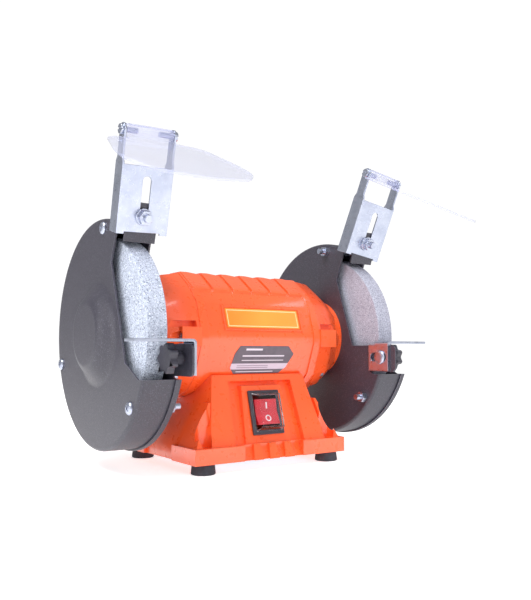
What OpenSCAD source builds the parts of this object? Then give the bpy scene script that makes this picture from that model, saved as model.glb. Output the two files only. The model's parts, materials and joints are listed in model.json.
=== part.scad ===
// Bench grinder with two 150 mm wheels, in millimetres.
// X runs along the spindle, -Y is the operator's side, +Z is up.
// The origin is on the bench, below the spindle, at the centre of the four feet.

/* [Overall] */
// Height of the spindle above the bench
axis_z = 105.6; // [98:1:128]
// Half of the distance between the inner plates of the two guards
motor_half = 95; // [84:1:114]
// Half of the length of the main motor housing
housing_half = 59; // [54:1:62]

/* [Wheels and guards] */
// Diameter of a new grinding wheel
wheel_dia = 150; // [125:1:152]
// Thickness of a grinding wheel
wheel_w = 16; // [13:0.5:19]
// Bore of a grinding wheel
wheel_bore = 12.7; // [12.7:0.1:16]
// Free space between a wheel and the inner plate of its guard
wheel_gap = 5.5; // [5:0.1:6.5]
// Free space between a wheel and the outer plate of its guard
outer_gap = 5.1; // [4.8:0.1:8]
// Free space between the rim of a new wheel and the drum wall of its guard
rim_gap = 12.8; // [12:0.2:18]
// Thickness of the guard sheet
sheet = 1.5; // [1:0.1:1.6]
// Length of the narrow flange of the guard lid
lid_flange = 5; // [3:0.5:8]
// Height of the hub dome on the outer plate of a guard
dome_h = 10; // [9:0.5:14]
// Nominal diameter of the three screws that close a guard
guard_screw_d = 5; // [4:0.5:6]

/* [Base] */
// Length of the plinth
plinth_l = 145; // [140:1:174]
// Depth of the plinth
plinth_d = 125; // [122:1:150]
// Height of the plinth
plinth_h = 12; // [10:0.5:16]
// Height of the rubber feet
foot_h = 8; // [6:0.5:12]
// Largest radius of a rubber foot
foot_r = 9.6; // [8.6:0.1:10]
// Spacing of the feet along the spindle
foot_span_x = 120.6; // [116:1:124]
// Spacing of the feet from front to back
foot_span_y = 105.6; // [100:1:106]
// Hole through each foot for a bench bolt
bench_bolt_hole = 6.5; // [5.5:0.1:8]
// How far below the spindle the pedestal ends
saddle_drop = 31.6; // [27.6:0.1:33.6]

/* [Switch] */
// Width of the switch frame
switch_w = 30; // [26:0.5:31]
// Height of the switch frame
switch_l = 36; // [32:0.5:37]
// Travel of the rocker to each side
rocker_throw = 8; // [5:1:10]

/* [Tool rests] */
// Thickness of the tool rest sheet
rest_sheet = 2; // [1.5:0.1:2.2]
// Height of the upright leg of a tool rest
rest_leg_h = 25; // [22:0.5:27]
// Front to back length of the upright leg
rest_leg_l = 23; // [21:0.5:27]
// Reach of the table across the wheel
rest_table_w = 46; // [42:1:52]
// How far the right rest is pulled forward from its middle place
rest_pull_right = -2.4; // [-4:0.1:4]
// How far the left rest is pulled forward from its middle place
rest_pull_left = 3.9; // [-4:0.1:4]
// Width of the slot in a tool rest
rest_slot_w = 7.5; // [6.8:0.1:8.5]
// Nominal diameter of the clamp bolts
clamp_bolt_d = 6; // [5:0.5:6.5]
// Outer diameter of a star knob
knob_d = 21.8; // [19:0.1:23]

/* [Eye shields] */
// Width of a shield bracket
bracket_w = 40; // [38:0.5:46]
// Height of the face of a shield bracket
bracket_h = 49; // [44:1:56]
// Depth of the side flanges of a shield bracket
bracket_flange = 13; // [11:0.5:16]
// Thickness of the bracket sheet
bracket_sheet = 1.5; // [1.2:0.1:2]
// Forward lean of the brackets in degrees
bracket_lean = 18; // [12:1:22]
// Turn of the left bracket about its bolt in degrees
bracket_turn_left = -2; // [-6:1:6]
// Turn of the right bracket about its bolt in degrees
bracket_turn_right = 8; // [-6:1:8]
// Height of the shield hinge above the lower edge of a bracket
shield_hinge_h = 72; // [69:1:80]
// Slope of the left shield below the horizontal in degrees
shield_drop_left = 28.5; // [0:0.5:45]
// Slope of the right shield below the horizontal in degrees
shield_drop_right = 26; // [0:0.5:45]
// Greatest width of a shield
shield_w = 92; // [76:1:110]
// Reach of a shield from its hinge
shield_l = 97; // [80:1:115]
// Thickness of a shield
shield_t = 2; // [1.5:0.1:3]

/* [Motor] */
// Outer diameter of the stator stack
stator_d = 82; // [76:1:83]
// Length of the stator stack
stator_l = 50; // [40:1:60]
// Diameter of the rotor
rotor_d = 45; // [40:0.5:50]
// Air gap between the rotor and the stator
air_gap = 0.4; // [0.3:0.1:1]
// Bore of the ball bearings
bearing_bore = 15; // [12:0.5:15]
// Outer diameter of the ball bearings
bearing_od = 35; // [32:0.5:37]
// Width of the ball bearings
bearing_w = 11; // [10:0.5:12]
// Balls in each bearing
ball_count = 8; // [6:1:9]

/* [Hidden] */
$fn = 64;
left = -1;
right = 1;
over = 1;

orange = [0.98, 0.42, 0.2];
graphite = [0.3, 0.29, 0.33];
zinc = [0.8, 0.82, 0.87];
rubber = [0.2, 0.2, 0.23];

// Guards
wheel_r = wheel_dia / 2;
wheel_in = motor_half + sheet + wheel_gap;
guard_depth = sheet + wheel_gap + wheel_w + outer_gap + sheet;
guard_out = motor_half + guard_depth;
guard_mid = motor_half + guard_depth / 2;
drum_r = wheel_r + rim_gap + sheet - 0.3;
lid_clear = 0.2;
lid_wall = 1.2;
pan_edge_r = 3;
guard_screw_r = wheel_r + 6.5;
guard_screw_at = [99, 220, -17];
opening_top = drum_r * [cos(115.3), sin(115.3)];
opening_knee = (wheel_r - 15.5) * [cos(117), sin(117)];
opening_chin = (wheel_r - 18) * [cos(201.6), sin(201.6)];
hub_hole_r = 14;
mount_circle_r = 28;
mount_screw_d = 5;
dome_base_r = 41;
dome_top_r = 22.5;

// Drive line
journal_r = bearing_bore / 2;
bore_r = wheel_bore / 2;
bearing_x = motor_half - 4 - bearing_w;
blotter_t = 0.6;
flange_t = 2.2;
flange_r = 25;
nut_t = 7;
nut_flats = 18;
shaft_tail = 2;
thread_r = 6;
nut_x = wheel_in + wheel_w + blotter_t + flange_t;
stub_x = wheel_in - blotter_t - flange_t;
shaft_end = nut_x + nut_t + shaft_tail;
ball_circle_r = (bearing_bore + bearing_od) / 4;
ball_r = bearing_w * 0.27;
race_r = ball_r + 0.12;
race_shoulder = ball_r * 0.62;

// Clamped joint between the rests and the guards
lobe_low = -30;
lobe_front = -wheel_r - 26;
lobe_back = -wheel_r + 28;
lobe_corner = 4;
wall_end_z = -32.3;
rest_axis_z = -17.6;
knob_gap = 1.1;
rest_axis_y = -sqrt(pow(wheel_r + knob_d / 2 + knob_gap, 2) - pow(rest_axis_z, 2));
rest_gap = 0.5;
rest_top = rest_axis_z + knob_d / 2 + rest_gap + rest_sheet;
rest_bend_r = 3;
lobe_gap = 0.4;
lobe_top = rest_top - rest_bend_r - lobe_gap;
rest_slot_l = 18.5;
table_back = 4;

// Shield brackets: the foot of a bracket is the middle of its lower edge
bracket_y = (drum_r - 3.1) * cos(122.4);
bracket_z = (drum_r - 3.1) * sin(122.4);
bracket_bolt_h = 13;
bracket_slot_low = 8;
bracket_slot_high = 42;
bracket_slot_w = 6.6;
tab_low = -6;
tab_high = 23;
hinge_depth = 5;
hinge_r = 4.6;
arm_w = 9.5;
arm_kink = 2.5;

module along_x(from, to) {
    translate([from, 0, 0])
        rotate([90, 0, 90])
            linear_extrude(to - from) children();
}

// A solid of revolution about the spindle; the profile is [radius, x].
module about_x() {
    rotate([90, 0, 90]) rotate_extrude($fn = 96) children();
}

module rod_x(r, from, to) {
    translate([from, 0, 0]) rotate([0, 90, 0]) cylinder(r = r, h = to - from);
}

// Mirrors what is modelled at the +X side to the other side when asked.
module to_side(side) {
    if (side < 0)
        mirror([1, 0, 0]) children();
    else
        children();
}

// A block whose lower and upper faces are rectangles: [x0, x1, y0, y1, z].
module tapered_block(low, high) {
    polyhedron(
        points = [
            [low[0], low[2], low[4]], [low[1], low[2], low[4]],
            [low[1], low[3], low[4]], [low[0], low[3], low[4]],
            [high[0], high[2], high[4]], [high[1], high[2], high[4]],
            [high[1], high[3], high[4]], [high[0], high[3], high[4]]
        ],
        faces = [
            [0, 1, 2, 3], [4, 7, 6, 5], [0, 4, 5, 1],
            [1, 5, 6, 2], [2, 6, 7, 3], [3, 7, 4, 0]
        ]
    );
}

function mirrored(points) = [for (i = [len(points) - 1:-1:0]) [-points[i][0], points[i][1]]];

// ---------------------------------------------------------------- motor shell

// Front half of the motor section, from the crown down, relative to the spindle.
function section_front(grow) = [
    [-9, 50.6 + grow], [-26.5 - grow * 0.5, 38.5 + grow * 0.8], [-38.5 - grow, 25.5 + grow * 0.4],
    [-46.5 - grow, 1.5], [-46.5 - grow, -6], [-36.5 - grow, -32 - grow * 0.3],
    [-24, -43.5 - grow]
];
function section(grow) = concat(
    section_front(grow), [[-8, -48.6 - grow], [8, -48.6 - grow]], mirrored(section_front(grow))
);

crown_ribs = 6;
crown_pitch = 19;
crown_rise = 1.9;
collar_l = 7;
collar_rise = 1.2;
bell_screw_at = [[-44, -1.5], [44, -1.5], [-30, -31.5], [30, -31.5]];
bell_screw_r = 1.75;
upper_tilt = atan2(8, 24);
lower_tilt = atan2(10, 26);

module crown_rib_profile() {
    for (i = [0:crown_ribs - 1])
        let (x = -housing_half + 2 + i * crown_pitch)
            polygon([[x, 20], [x, 53], [x + 3, 53], [x + crown_pitch - 3, 50.9], [x + crown_pitch - 3, 20]]);
}

module on_spindle() {
    translate([0, 0, axis_z]) children();
}

// The flat above the front crease, with its own X and Z along the surface.
module on_upper_flat() {
    translate([2, -46.5, 1.5]) rotate([-upper_tilt, 0, 0]) translate([0, 0, 2.6]) children();
}

// The flat below the front crease.
module on_lower_flat() {
    translate([2, -46.5, -6]) rotate([lower_tilt, 0, 0]) children();
}

// Raised bars that frame a field on a flat of the housing.
module field_frame(half_w, reach, bar, rise) {
    difference() {
        translate([-half_w, -rise, 0]) cube([2 * half_w, rise + over, reach]);
        translate([-half_w + bar, -rise - over, bar])
            cube([2 * (half_w - bar), rise + 3 * over, reach - 2 * bar]);
    }
}

module motor_housing() {
    color(orange)
        on_spindle()
            difference() {
                union() {
                    along_x(-housing_half, housing_half) polygon(section(0));
                    intersection() {
                        along_x(-housing_half, housing_half) polygon(section(crown_rise));
                        translate([0, 30, 0]) rotate([90, 0, 0]) linear_extrude(60) crown_rib_profile();
                    }
                    for (side = [left, right])
                        to_side(side)
                            along_x(housing_half - collar_l, housing_half) polygon(section(collar_rise));
                    on_upper_flat() field_frame(39, 21, 1.6, 1);
                }
                rod_x(stator_d / 2, -housing_half - over, housing_half + over);
                for (side = [left, right], p = bell_screw_at)
                    to_side(side)
                        translate([0, p[0], p[1]])
                            rod_x(bell_screw_r, housing_half - 14, housing_half + over);
                translate([-lead_hole_x / 2, -lead_hole_y / 2, -60]) cube([lead_hole_x, lead_hole_y, 24]);
                at_saddle_screws()
                    translate([0, 0, -axis_z]) cylinder(r = saddle_screw_r, h = saddle_screw_top);
            }
}

bell_shoulder = 15;
bell_face = 3;
bell_wall = 3;
mount_boss_l = 8;
ear_y = 45;
ear = [17, 7, 15];
ear_low = -9;
notch = [21, 14, 5];
notch_low = 6;
notch_floor = 38;
screw_seat = 12.5;
screw_well_r = 4.1;
shaft_clear = 2.5;
washer_t = 0.9;

module scaled_section(x, k) {
    along_x(x - 0.05, x) polygon([for (p = section(0.4)) p * k]);
}

// The end bell at the +X side, with its bearing seat and any room for a washer.
module end_bell(washer_room) {
    shoulder_x = housing_half + bell_shoulder;
    face_x = motor_half - bell_face;
    difference() {
        union() {
            hull() {
                scaled_section(housing_half + 0.05, 1);
                scaled_section(shoulder_x, 0.955);
            }
            hull() {
                scaled_section(shoulder_x, 0.955);
                scaled_section(face_x, 0.72);
            }
            rod_x(mount_circle_r + 6, face_x - mount_boss_l, motor_half);
            for (side = [-1, 1])
                translate([housing_half, side * ear_y - ear[1] / 2, ear_low]) cube(ear);
        }
        rod_x(stator_d / 2 - bell_wall, housing_half - over, shoulder_x - 2);
        rod_x(bearing_od / 2 + 4, shoulder_x - 3, bearing_x - bell_wall);
        rod_x(bearing_od / 2, bearing_x - bell_wall - over, bearing_x + bearing_w + washer_room);
        rod_x(journal_r + shaft_clear, bearing_x + bearing_w - over, motor_half + over);
        for (side = [-1, 1])
            translate([housing_half + 2.5, side > 0 ? notch_floor : -notch_floor - notch[1], notch_low])
                cube(notch);
        for (p = bell_screw_at)
            translate([0, p[0], p[1]]) {
                rod_x(bell_screw_r, housing_half - over, housing_half + 30);
                rod_x(screw_well_r, housing_half + screw_seat, motor_half);
            }
        for (a = [90, 210, 330])
            rotate([a, 0, 0])
                translate([0, mount_circle_r, 0])
                    rod_x(mount_screw_d / 2, motor_half - 9, motor_half + over);
    }
}

module left_end_bell() {
    color(orange) on_spindle() to_side(left) end_bell(washer_t);
}

module right_end_bell() {
    color(orange) on_spindle() to_side(right) end_bell(0);
}

module end_bell_screws() {
    head_x = housing_half + screw_seat + 2;
    color(zinc)
        on_spindle()
            for (side = [left, right], p = bell_screw_at)
                translate([0, p[0], p[1]])
                    to_side(side) {
                        rod_x(bell_screw_r, housing_half - 12, housing_half + screw_seat + 0.5);
                        difference() {
                            rod_x(screw_well_r - 0.5, housing_half + screw_seat, head_x + 1);
                            translate([head_x, -0.5, -2.4]) cube([2, 1, 4.8]);
                            translate([head_x, -2.4, -0.5]) cube([2, 4.8, 1]);
                        }
                    }
}

// ------------------------------------------------------------------- pedestal

saddle_z = axis_z - saddle_drop;
plinth_z = foot_h;
plinth_top = plinth_z + plinth_h;
plinth_x = plinth_l / 2;
plinth_y = plinth_d / 2;
pad_l = 38;
pad_w = 44;
pad_step = 2.5;
shell = 4;
cavity_x = 43;
cavity_y = 46;
foot_plug_r = 6;
foot_plug_h = 5;
foot_x = foot_span_x / 2;
foot_y = foot_span_y / 2;
top_x = 45;
top_y = 39;
base_x = 56;
base_y = 57;
plate_t = 1.2;
plate_screw_at = [[-46.5, 22], [46.5, 22], [-46.5, -22], [46.5, -22]];
recess_half = 32;
recess_depth = 5;
recess_low_y = -base_y + recess_depth;
recess_top_y = -top_y + recess_depth - 1.5;
switch_lean = 15;
switch_mid_z = saddle_z - 31;
switch_mid_y = -47;
switch_hole_w = switch_w - 4;
switch_hole_l = switch_l - 4;
boss_x = 19.5;
gland_x = 43;
gland_z = plinth_top + 12;
gland_r = 6;
gland_boss_r = 11;
gland_seat = base_y - 3.6;
spot_face = 0.5;
lead_hole_x = 24;
lead_hole_y = 28;
cradle_wall = 4;
saddle_screw_x = 38;
saddle_screw_y = 20;
saddle_screw_r = 2;
saddle_screw_seat = axis_z - 48.1;
saddle_screw_top = saddle_screw_seat + 11;
saddle_head_h = 2.6;

module at_feet() {
    for (x = [-foot_x, foot_x], y = [-foot_y, foot_y])
        translate([x, y, 0]) children();
}

// Convex body of the pedestal, drawn in by the wall on every side.
module pedestal_core(wall) {
    hull() {
        translate([-top_x + wall, -top_y + wall, saddle_z - over])
            cube([2 * (top_x - wall), 2 * (top_y - wall), over]);
        translate([-base_x + wall, -base_y + wall, plinth_top - over])
            cube([2 * (base_x - wall), 2 * (base_y - wall), over]);
        translate([-70 + wall, -24 + wall / 2, plinth_top - over])
            cube([2 * (70 - wall), 2 * (24 - wall / 2), over]);
    }
}

// Places its children on the leaning panel that carries the switch.
module on_switch_panel() {
    translate([0, switch_mid_y, switch_mid_z]) rotate([-switch_lean, 0, 0]) children();
}

module plinth_rib(x) {
    tapered_block(
        [x, x + 9, -plinth_y, -plinth_y + 12, plinth_z],
        [x + 1.5, x + 7.5, -plinth_y + 4, -plinth_y + 14, plinth_top]
    );
}

module corner_buttress() {
    tapered_block(
        [-70, -58.5, -plinth_y + 3.5, -30, plinth_top - over],
        [-53, -51, -47.5, -30, plinth_top + 33]
    );
}

module plinth() {
    translate([-plinth_x + pad_step, -plinth_y + 6, plinth_z])
        cube([plinth_l - 2 * pad_step, plinth_d - 12, plinth_h]);
    for (sx = [0, 1], sy = [0, 1])
        mirror([sx, 0, 0])
            mirror([0, sy, 0])
                translate([-plinth_x, -plinth_y, plinth_z]) cube([pad_w, pad_l, plinth_h]);
    for (sy = [0, 1])
        mirror([0, sy, 0]) {
            tapered_block(
                [-plinth_x + pad_w, plinth_x - pad_w, -plinth_y + 2, -plinth_y + 14, plinth_z],
                [-plinth_x + pad_w, plinth_x - pad_w, -plinth_y + 8, -plinth_y + 14, plinth_top]
            );
            for (i = [-1:1])
                plinth_rib(i * 15 - 4.5);
        }
}

module pedestal() {
    color(orange)
        difference() {
            union() {
                plinth();
                difference() {
                    pedestal_core(0);
                    for (sy = [0, 1])
                        mirror([0, sy, 0])
                            tapered_block(
                                [-recess_half - 2, recess_half + 2, -90, recess_low_y, plinth_top],
                                [-recess_half + 1, recess_half - 1, -90, recess_top_y, saddle_z - 5]
                            );
                }
                tapered_block(
                    [-boss_x - 3, boss_x + 3, -base_y + 2.5, -30, plinth_top - over],
                    [-boss_x, boss_x, -top_y - 3.5, -28, saddle_z - 9]
                );
                for (sx = [0, 1], sy = [0, 1])
                    mirror([sx, 0, 0]) mirror([0, sy, 0]) corner_buttress();
                translate([gland_x, 30, gland_z])
                    rotate([-90, 0, 0]) cylinder(r = gland_boss_r, h = gland_seat - 30);
            }
            difference() {
                pedestal_core(shell + recess_depth);
                on_spindle() along_x(-80, 80) polygon(section(cradle_wall));
            }
            on_spindle() along_x(-80, 80) polygon(section(0));
            on_spindle()
                for (side = [left, right])
                    to_side(side)
                        along_x(housing_half - collar_l - 0.5, 80) polygon(section(collar_rise + 0.3));
            translate([-cavity_x, -cavity_y, plinth_z - over])
                cube([2 * cavity_x, 2 * cavity_y, plinth_h + over + 4]);
            translate([-51, -51, plinth_z - over]) cube([102, 102, plate_t + over]);
            translate([-lead_hole_x / 2, -lead_hole_y / 2, plinth_top])
                cube([lead_hole_x, lead_hole_y, saddle_z]);
            on_switch_panel()
                translate([-switch_hole_w / 2, -20, -switch_hole_l / 2])
                    cube([switch_hole_w, 45, switch_hole_l]);
            on_switch_panel()
                translate([-switch_w / 2 - 0.4, -40, -switch_l / 2 - 0.4])
                    cube([switch_w + 0.8, 38.5, switch_l + 0.8]);
            translate([gland_x, 30, gland_z]) rotate([-90, 0, 0]) cylinder(r = gland_r, h = 40);
            translate([gland_x, gland_seat, gland_z])
                rotate([-90, 0, 0]) cylinder(r = gland_boss_r + 1, h = 20);
            at_feet() translate([0, 0, plinth_z - over]) cylinder(r = foot_plug_r, h = foot_plug_h + over);
            at_feet() translate([0, 0, plinth_z]) cylinder(r = bench_bolt_hole / 2, h = plinth_h + 40);
            at_feet() translate([0, 0, plinth_top - spot_face]) cylinder(r = 6.6, h = 40);
            for (p = plate_screw_at)
                translate([p[0], p[1], plinth_z - over]) cylinder(r = 1.5, h = 10);
            at_saddle_screws() translate([0, 0, plinth_top]) cylinder(r = saddle_screw_r, h = 60);
            at_saddle_screws()
                translate([0, 0, plinth_top]) cylinder(r = 4.2, h = saddle_screw_seat - plinth_top);
        }
}

module at_saddle_screws() {
    for (x = [-saddle_screw_x, saddle_screw_x], y = [-saddle_screw_y, saddle_screw_y])
        translate([x, y, 0]) children();
}

// The screws that hold the motor down, put in from inside the pedestal.
module pedestal_screws() {
    color(zinc)
        at_saddle_screws() {
            translate([0, 0, saddle_screw_seat - saddle_head_h]) cylinder(r = 3.6, h = saddle_head_h);
            translate([0, 0, saddle_screw_seat - 1])
                cylinder(r = saddle_screw_r, h = saddle_screw_top - saddle_screw_seat + 1);
        }
}

module base_plate() {
    color([0.55, 0.56, 0.58])
        difference() {
            translate([-50.6, -50.6, plinth_z]) cube([101.2, 101.2, plate_t]);
            for (p = plate_screw_at)
                translate([p[0], p[1], plinth_z - over]) cylinder(r = 1.8, h = 5);
            at_feet() translate([0, 0, plinth_z - over]) cylinder(r = foot_r + 1, h = 5);
            for (i = [-4:4])
                translate([i * 8 - 1.5, -18, plinth_z - over]) cube([3, 36, 5]);
        }
}

module base_plate_screws() {
    color(zinc)
        for (p = plate_screw_at)
            translate([p[0], p[1], plinth_z]) {
                cylinder(r = 1.5, h = 8);
                translate([0, 0, -1.8]) cylinder(r = 3.2, h = 1.8);
            }
}

// A rubber foot: a tapered pad with a plug that fills the hole above it.
module rubber_foot(sx, sy) {
    color(rubber)
        translate([sx * foot_x, sy * foot_y, 0])
            rotate_extrude()
                polygon([
                    [bench_bolt_hole / 2, 0], [foot_r - 0.8, 0], [foot_r, 0.8],
                    [foot_r - 0.9, plinth_z], [foot_plug_r, plinth_z],
                    [foot_plug_r, plinth_z + foot_plug_h], [bench_bolt_hole / 2, plinth_z + foot_plug_h]
                ]);
}

module foot_front_left() { rubber_foot(-1, -1); }
module foot_front_right() { rubber_foot(1, -1); }
module foot_rear_left() { rubber_foot(-1, 1); }
module foot_rear_right() { rubber_foot(1, 1); }

module cable_gland() {
    color([0.12, 0.12, 0.13])
        translate([gland_x, 0, gland_z])
            rotate([-90, 0, 0])
                difference() {
                    union() {
                        translate([0, 0, 44]) cylinder(r = gland_r, h = 12);
                        translate([0, 0, gland_seat]) cylinder(r = 9.5, h = 5, $fn = 6);
                        translate([0, 0, gland_seat + 5])
                            rotate_extrude()
                                polygon([[0, 0], [7.6, 0], [7.6, 4], [5.2, 9], [0, 9]]);
                    }
                    cylinder(r = 3.4, h = 90);
                }
}

// ------------------------------------------------------------- switch and labels

rocker_pivot_y = 2;
frame_rise = 3.5;
frame_t = 2;
pin_r = 1.5;
pin_clear = 0.06;
rocker_w = switch_hole_w - 5;
rocker_l = switch_hole_l - 6;

module switch_frame() {
    color([0.2, 0.2, 0.23])
        on_switch_panel()
            difference() {
                union() {
                    translate([-switch_w / 2, -frame_rise, -switch_l / 2])
                        cube([switch_w, frame_t, switch_l]);
                    translate([-switch_hole_w / 2, frame_t - frame_rise, -switch_hole_l / 2])
                        cube([switch_hole_w, 20, switch_hole_l]);
                }
                translate([-rocker_w / 2 - 0.5, -20, -rocker_l / 2 - 0.5])
                    cube([rocker_w + 1, 34, rocker_l + 1]);
            }
    color([0.2, 0.2, 0.23]) on_switch_panel() rocker_pin(pin_r);
}

module switch_rocker() {
    color([0.8, 0.1, 0.12])
        on_switch_panel()
            difference() {
                translate([-rocker_w / 2, 0, 0])
                    rotate([90, 0, 90])
                        linear_extrude(rocker_w)
                            polygon([
                                [-5.6, -rocker_l / 2 + 2.5], [-3.4, 0], [-3.4 - 1.4, rocker_l / 2 - 2.5],
                                [4, rocker_l / 2 - 3.5], [7, 0], [4, -rocker_l / 2 + 3.5]
                            ]);
                rocker_pin(pin_r + pin_clear);
            }
}

module rocker_pin(r) {
    translate([0, rocker_pivot_y, 0]) rod_x(r, -rocker_w / 2 - over, rocker_w / 2 + over);
}

cover_t = 0.8;
cover_draft = 2.2;
cover_rise = 7.5;
cover_half_w = switch_w / 2 - cover_draft;
cover_half_l = switch_l / 2 - cover_draft;

module switch_cover() {
    color([0.95, 0.9, 0.92, 0.5])
        on_switch_panel()
            difference() {
                translate([0, -frame_rise, 0])
                    tapered_panel(cover_half_w, cover_half_l, cover_rise, cover_draft);
                translate([0, -frame_rise + 0.01, 0])
                    tapered_panel(
                        cover_half_w - cover_t, cover_half_l - cover_t, cover_rise - cover_t, cover_draft
                    );
            }
}

// A shallow box that narrows towards its front, standing out along -Y.
module tapered_panel(half_w, half_l, rise, draft) {
    rotate([90, 0, 0])
        tapered_block(
            [-half_w, half_w, -half_l, half_l, 0],
            [-half_w + draft, half_w - draft, -half_l + draft, half_l - draft, rise]
        );
}

module front_label() {
    color([1, 0.62, 0.2])
        on_spindle() on_upper_flat() translate([-36, -0.5, 2.3]) cube([72, 0.5, 16.4]);
}

module rating_plate() {
    color([0.33, 0.3, 0.33])
        on_spindle()
            on_lower_flat()
                translate([0, 0, -26.5])
                    rotate([90, 0, 0])
                        linear_extrude(0.4)
                            polygon([
                                [-24, 24], [24, 24], [31, 17], [25, 5],
                                [19, 0], [-26, 0], [-30, 5], [-28, 17]
                            ]);
}

// -------------------------------------------------------------- motor internals

winding_t = 11;
end_ring_t = 5;

module stator_core() {
    color([0.45, 0.46, 0.48])
        on_spindle()
            difference() {
                rod_x(stator_d / 2, -stator_l / 2, stator_l / 2);
                rod_x(rotor_d / 2 + air_gap, -stator_l, stator_l);
            }
}

module stator_windings() {
    color([0.75, 0.4, 0.15])
        on_spindle()
            for (side = [left, right])
                to_side(side)
                    difference() {
                        rod_x(stator_d / 2 - 5, stator_l / 2, stator_l / 2 + winding_t);
                        rod_x(rotor_d / 2 + 3, stator_l / 2 - over, stator_l / 2 + winding_t + over);
                    }
}

module rotor_core() {
    color([0.6, 0.6, 0.63])
        on_spindle()
            difference() {
                union() {
                    rod_x(rotor_d / 2, -stator_l / 2, stator_l / 2);
                    rod_x(rotor_d / 2 - 1.5, -stator_l / 2 - end_ring_t, stator_l / 2 + end_ring_t);
                }
                rod_x(journal_r + 1, -stator_l, stator_l);
            }
}

module shaft() {
    color([0.75, 0.76, 0.78])
        on_spindle() {
            rod_x(journal_r + 1, -bearing_x, bearing_x);
            rod_x(journal_r, -stub_x, stub_x);
            rod_x(bore_r, -nut_x, nut_x);
            rod_x(thread_r, -shaft_end, shaft_end);
        }
}

module both_bearings() {
    on_spindle()
        for (side = [left, right])
            to_side(side) translate([bearing_x, 0, 0]) children();
}

module race_groove() {
    about_x() translate([ball_circle_r, bearing_w / 2]) circle(r = race_r);
}

module bearing_outer_rings() {
    color([0.7, 0.71, 0.74])
        both_bearings()
            difference() {
                rod_x(bearing_od / 2, 0, bearing_w);
                rod_x(ball_circle_r + race_shoulder, -over, bearing_w + over);
                race_groove();
            }
}

module bearing_inner_rings() {
    color([0.7, 0.71, 0.74])
        both_bearings()
            difference() {
                rod_x(ball_circle_r - race_shoulder, 0, bearing_w);
                rod_x(journal_r, -over, bearing_w + over);
                race_groove();
            }
}

cage_half_t = 0.5;

module ball_cage(side) {
    color([0.8, 0.7, 0.4])
        on_spindle()
            to_side(side)
                translate([bearing_x + bearing_w / 2, 0, 0]) {
                    difference() {
                        rod_x(ball_circle_r + cage_half_t, -1.2, 1.2);
                        rod_x(ball_circle_r - cage_half_t, -3, 3);
                    }
                    for (i = [0:ball_count - 1])
                        rotate([i * 360 / ball_count, 0, 0])
                            translate([0, ball_circle_r, 0]) sphere(r = ball_r);
                }
}

module left_ball_cage() { ball_cage(left); }
module right_ball_cage() { ball_cage(right); }

module wave_washer() {
    color([0.75, 0.76, 0.78])
        on_spindle()
            to_side(left)
                translate([bearing_x + bearing_w, 0, 0])
                    difference() {
                        rod_x(bearing_od / 2 - 0.5, 0, washer_t);
                        rod_x(bearing_od / 2 - 3, -over, washer_t + over);
                    }
}

module capacitor() {
    color([0.93, 0.92, 0.88])
        translate([0, 28, plinth_z + plate_t])
            translate([-24, -9, 0]) cube([48, 18, 25]);
}

// --------------------------------------------------------------------- guards

// Edge of the opening at the operator's side, as [y, z] from the spindle.
opening = [
    opening_knee, opening_chin, [-wheel_r, wall_end_z], [-drum_r - 30, wall_end_z],
    [-drum_r - 30, drum_r + 20], 1.3 * opening_top, opening_top
];

// The drum wall runs on up into the thickness of the tab.
function on_tab_plane(h) = [
    bracket_y - h * sin(bracket_lean) + 0.6 * sheet * cos(bracket_lean),
    bracket_z + h * cos(bracket_lean) + 0.6 * sheet * sin(bracket_lean)
];
wall_opening = [
    on_tab_plane(-60), on_tab_plane(60), [-drum_r - 60, drum_r + 20],
    [-drum_r - 60, wall_end_z], [-wheel_r + 10, wall_end_z]
];

bolt_r = clamp_bolt_d / 2;
bolt_hole_r = bolt_r + 0.1;
tab_half_w = guard_depth / 2 - sheet - 1;

// Outline of the lobe that carries a tool rest.
module lobe_outline() {
    difference() {
        union() {
            translate([lobe_front, lobe_low + lobe_corner])
                square([lobe_back - lobe_front, lobe_top - lobe_low - 2 * lobe_corner]);
            translate([lobe_front + lobe_corner, lobe_low])
                square([lobe_back - lobe_front - lobe_corner, lobe_top - lobe_low]);
            for (z = [lobe_low + lobe_corner, lobe_top - lobe_corner])
                translate([lobe_front + lobe_corner, z]) circle(r = lobe_corner);
        }
        translate([lobe_back + 2.5, lobe_top]) circle(r = 2.2);
    }
}

// Smooth rise from the flat of an outer plate to the top of its hub dome.
dome_steps = 12;
function dome_curve(x, toward) = [
    for (i = [0:dome_steps])
        let (t = i / dome_steps)
            [dome_top_r + (dome_base_r - dome_top_r) * t, x + toward * dome_h * (0.5 + 0.5 * cos(180 * t))]
];

function reversed(points) = [for (i = [len(points) - 1:-1:0]) points[i]];

function arc(center, r, from, to, steps = 8) = [
    for (i = [0:steps])
        let (a = from + (to - from) * i / steps) center + r * [cos(a), sin(a)]
];

// Middle of a guard plate: its hub hole, or its hub dome.
function plate_middle_outer(domed, x, toward) = domed
    ? concat([[0, x + toward * dome_h]], dome_curve(x, toward))
    : [[hub_hole_r, x]];

// Section of a pan, with its plate at x = 0 and its rim wall toward +X.
function pan_profile(domed) = concat(
    plate_middle_outer(domed, 0, -1),
    arc([drum_r - pan_edge_r, pan_edge_r], pan_edge_r, -90, 0),
    [[drum_r, guard_depth - sheet], [drum_r - sheet, guard_depth - sheet]],
    reversed(arc([drum_r - pan_edge_r, pan_edge_r], pan_edge_r - sheet, -90, 0)),
    reversed(plate_middle_outer(domed, sheet, -1))
);

lid_r = drum_r + lid_clear + lid_wall;

// Section of a lid, with its outer face at x = guard_depth and its flange toward -X.
function lid_profile(domed) = concat(
    plate_middle_outer(domed, guard_depth - sheet, 1),
    [[lid_r - lid_wall, guard_depth - sheet], [lid_r - lid_wall, guard_depth - lid_flange]],
    [[lid_r, guard_depth - lid_flange], [lid_r, guard_depth - 1], [lid_r - 1, guard_depth]],
    reversed(plate_middle_outer(domed, guard_depth, 1))
);

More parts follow.
